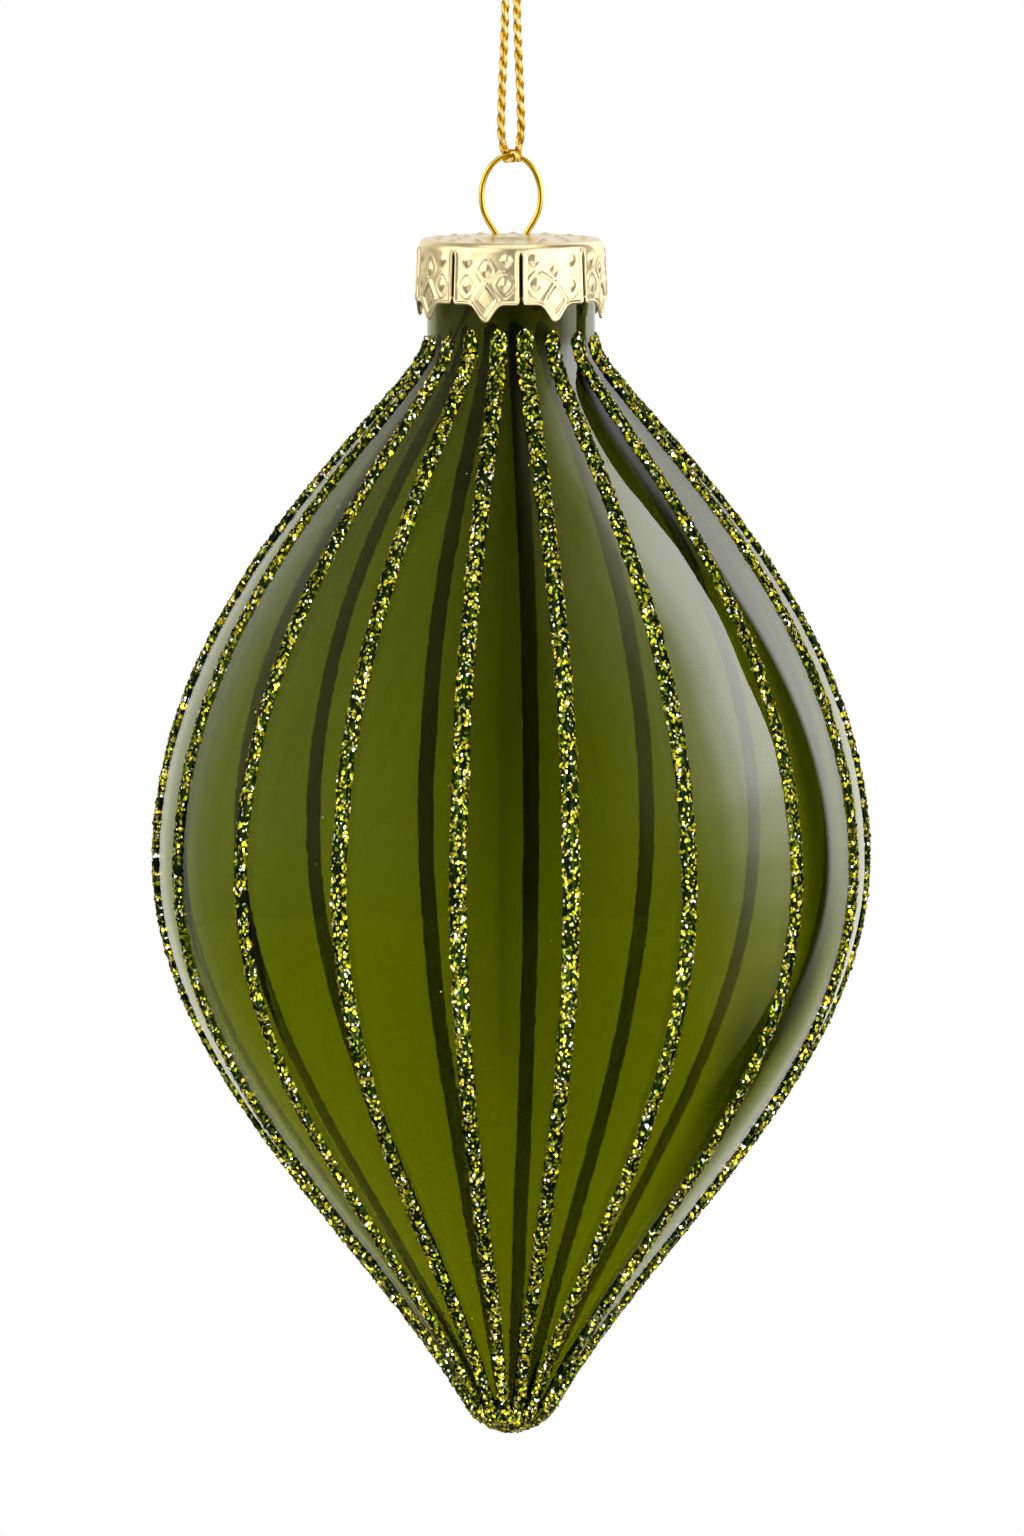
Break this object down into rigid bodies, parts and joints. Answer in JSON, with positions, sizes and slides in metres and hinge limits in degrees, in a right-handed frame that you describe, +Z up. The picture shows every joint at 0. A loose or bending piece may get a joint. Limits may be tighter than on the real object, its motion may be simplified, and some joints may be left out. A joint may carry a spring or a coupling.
{
  "type": "teardrop bauble",
  "caption": "Teardrop glass bauble with raised glitter lines, a stamped petal cap, a sprung wire hanger and a loop of thin cord to hang it by.",
  "frame": {"origin": "where a hook bears in the cord's loop, on the axis of the bauble, which hangs below it", "axes": "+Z up along the bauble's axis, towards the hook; -Y is the front that the picture shows; the wire ring lies in the XZ plane"},
  "size_m": [0.0813, 0.081, 0.1838],
  "materials": {
    "glass_green": "clear olive green, glossy",
    "glitter": "coarse glitter, dark green and gold flakes",
    "cap_metal": "satin champagne gold",
    "wire_gold": "polished gold",
    "cord_gold": "twisted metallic gold thread"
  },
  "bodies": {
    "cord": {"cord_strand_left": "cord_gold", "cord_strand_right": "cord_gold", "cord_knot": "cord_gold"},
    "hitch": {"cord_hitch": "cord_gold"},
    "hanger": {"hanger_wire": "wire_gold"},
    "cap": {"cap": "cap_metal"},
    "glass": {"glass_body": "glass_green", "glitter_line_01": "glitter", "glitter_line_02": "glitter", "glitter_line_03": "glitter", "glitter_line_04": "glitter", "glitter_line_05": "glitter", "glitter_line_06": "glitter", "glitter_line_07": "glitter", "glitter_line_08": "glitter", "glitter_line_09": "glitter", "glitter_line_10": "glitter", "glitter_line_11": "glitter", "glitter_line_12": "glitter", "glitter_line_13": "glitter", "glitter_line_14": "glitter", "glitter_line_15": "glitter", "glitter_line_16": "glitter", "glitter_line_17": "glitter", "glitter_line_18": "glitter", "glitter_tip": "glitter"}
  },
  "joints": [
    {"name": "cord_twist", "type": "hinge", "parent": "cord", "child": "hitch", "pos_m": [0, 0, -0.02967], "axis": [0, 0, 1], "range_deg": [-180, 180]},
    {"name": "hanger_swing", "type": "hinge", "parent": "hitch", "child": "hanger", "pos_m": [0, 0, -0.02967], "axis": [1, 0, 0], "range_deg": [-120, 120]},
    {"name": "cap_tilt", "type": "hinge", "parent": "hanger", "child": "cap", "pos_m": [0, 0, -0.039], "axis": [1, 0, 0], "range_deg": [-15, 15]},
    {"name": "glass_pull", "type": "slide", "parent": "cap", "child": "glass", "axis": [0, 0, -1], "range_m": [0, 0.02]}
  ]
}
